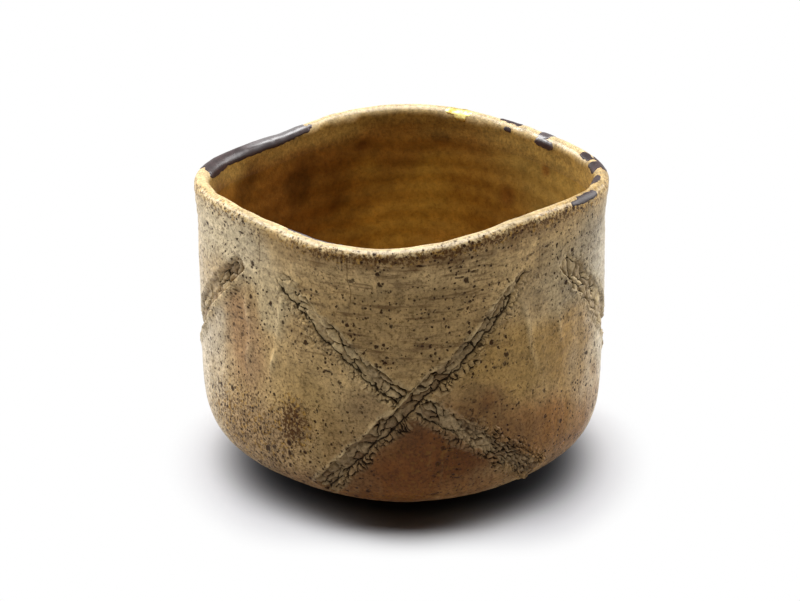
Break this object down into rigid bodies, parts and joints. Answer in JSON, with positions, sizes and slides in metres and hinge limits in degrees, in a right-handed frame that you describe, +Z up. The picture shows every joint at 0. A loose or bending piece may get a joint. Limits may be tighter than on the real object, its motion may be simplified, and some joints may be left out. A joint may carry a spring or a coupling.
{
  "type": "tea bowl",
  "caption": "Hand-made upright tea bowl with a squared wavy mouth, crossed carved lines in the wall, crawled brown glaze and lacquer-mended lip, for drinking whisked tea.",
  "frame": {"origin": "on the table, under the middle of the foot ring", "axes": "+Z up along the throwing axis, -Y towards the front with its crossed carved lines, +X to the viewer's right"},
  "size_m": [0.1205, 0.1204, 0.0921],
  "materials": {
    "fired_clay": "matte",
    "foot_clay": "matte",
    "outer_glaze": "satin",
    "inner_glaze": "satin",
    "crawled_glaze": "satin",
    "lacquer": "gloss",
    "gold": "polished"
  },
  "bodies": {
    "root": {"bowl_body": "fired_clay", "foot_ring": "foot_clay", "outer_glaze": "outer_glaze", "inner_glaze": "inner_glaze", "crawled_glaze_front": "crawled_glaze", "crawled_glaze_right": "crawled_glaze", "crawled_glaze_back": "crawled_glaze", "crawled_glaze_left": "crawled_glaze", "lacquer_repair_left": "lacquer", "lacquer_repair_front": "lacquer", "lacquer_repair_right_front": "lacquer", "lacquer_repair_right": "lacquer", "lacquer_repair_right_back": "lacquer", "lacquer_repair_back_oval": "lacquer", "lacquer_repair_back": "lacquer", "gold_repair_back": "gold"}
  },
  "joints": []
}
